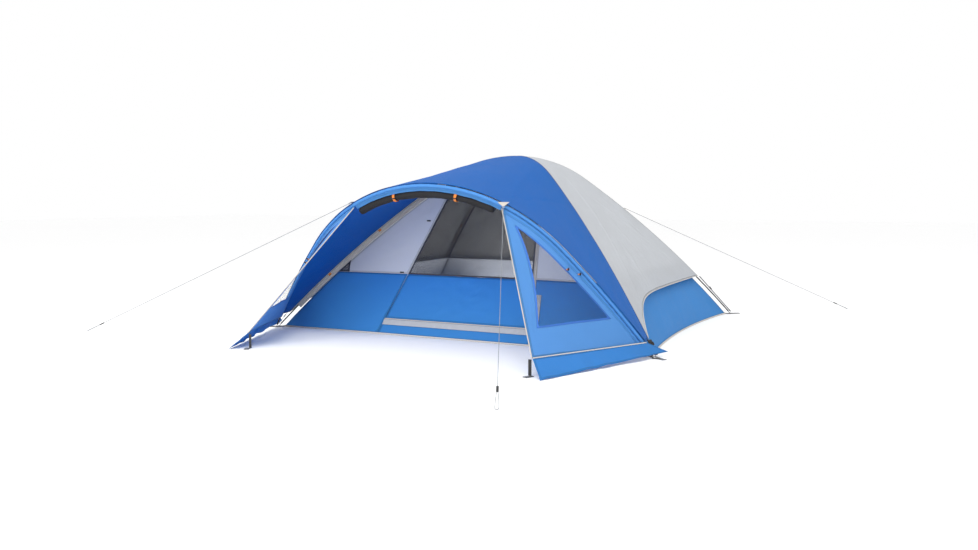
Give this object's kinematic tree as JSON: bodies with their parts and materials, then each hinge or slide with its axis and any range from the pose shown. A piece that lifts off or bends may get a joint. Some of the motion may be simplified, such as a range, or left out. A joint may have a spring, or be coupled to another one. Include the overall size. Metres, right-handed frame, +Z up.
{
  "type": "dome tent",
  "caption": "Dome tent on two crossed poles with a fly, and an open porch held up by a third, forward-leaning pole; its screen door is rolled up and guylines run to the ground.",
  "frame": {"origin": "on the ground at the middle of the tent's footprint, without its guylines", "axes": "+Z up, -Y out of the porch, +X to the right for a person who faces the porch"},
  "size_m": [4.572, 4.3445, 1.22],
  "materials": {
    "pole": "black fibreglass, semi-gloss",
    "steel": "plated steel",
    "cord": "light grey braided line",
    "webbing": "black woven webbing",
    "hardware": "moulded black acetal",
    "floor_cloth": "coated dark floor cloth",
    "tub_blue": "coated plain weave, mid blue",
    "fly_blue": "coated plain weave, royal blue",
    "porch_blue": "coated plain weave, bright blue",
    "fly_grey": "coated plain weave, light grey",
    "panel_grey": "uncoated light grey cloth",
    "mesh": "dark insect mesh",
    "binding": "pale grey binding tape",
    "orange": "orange hook-and-loop tape"
  },
  "bodies": {
    "tent": {"corner_straps": "webbing", "door_mesh": "mesh", "door_panel": "tub_blue", "door_zip_tape": "binding", "floor": "floor_cloth", "fly_hooks": "hardware", "fly_left_side": "fly_grey", "fly_porch_roof": "fly_blue", "fly_rear": "fly_grey", "fly_right_side": "fly_grey", "fly_strap_buckles": "hardware", "fly_straps": "webbing", "front_crown_panel": "mesh", "front_left_panel": "panel_grey", "front_right_panel": "panel_grey", "front_tub_wall": "tub_blue", "guy_rings": "steel", "guy_tabs": "binding", "guyline_front_left": "cord", "guyline_front_right": "cord", "guyline_rear_right": "cord", "left_tub_wall": "tub_blue", "left_upper_wall": "mesh", "main_pole_lower": "pole", "main_pole_upper": "pole", "peg_eyelets": "steel", "peg_loop_front_left": "cord", "peg_loop_front_right": "cord", "peg_loop_rear_right": "cord", "pole_ferrules": "steel", "pole_sleeves": "binding", "pole_wraps": "orange", "porch_anchor_straps": "webbing", "porch_left_panel": "porch_blue", "porch_left_window": "mesh", "porch_piping": "binding", "porch_pole": "pole", "porch_right_panel": "porch_blue", "porch_right_window": "mesh", "porch_sleeve": "porch_blue", "porch_valance": "porch_blue", "rear_tub_wall": "tub_blue", "rear_upper_wall": "mesh", "right_tub_wall": "tub_blue", "right_upper_wall": "mesh", "ring_pins": "steel", "roll_ties": "orange", "rolled_screen_door": "mesh", "shock_cords": "cord", "skirt_left": "porch_blue", "skirt_right": "porch_blue", "storm_flap": "binding", "tensioner_front_left": "hardware", "tensioner_front_right": "hardware", "tensioner_rear_right": "hardware", "toggles": "hardware"},
    "door_zip_edge": {"door_zip_edge": "binding"},
    "bottom_slider": {"door_slider_bottom": "steel"},
    "side_slider": {"door_slider_side": "steel"}
  },
  "joints": [
    {"name": "zip_bottom", "type": "slide", "parent": "tent", "child": "bottom_slider", "axis": [-1, 0, 0], "range_m": [0, 1]},
    {"name": "zip_side", "type": "slide", "parent": "tent", "child": "side_slider", "axis": [-0.1704, 0.5646, 0.8076], "range_m": [0, 0.8]},
    {"name": "door_draw", "type": "hinge", "parent": "tent", "child": "door_zip_edge", "pos_m": [0, 1.23721, 2.65924], "axis": [0, 0.8196, -0.573], "range_deg": [0, 11.1], "deforming": ["door_panel", "door_mesh"]}
  ],
  "couplings": [
    {"joint": "zip_side", "follows": "zip_bottom", "ratio": 0.8},
    {"joint": "door_draw", "follows": "zip_bottom", "rad_per_m": 0.1937}
  ]
}
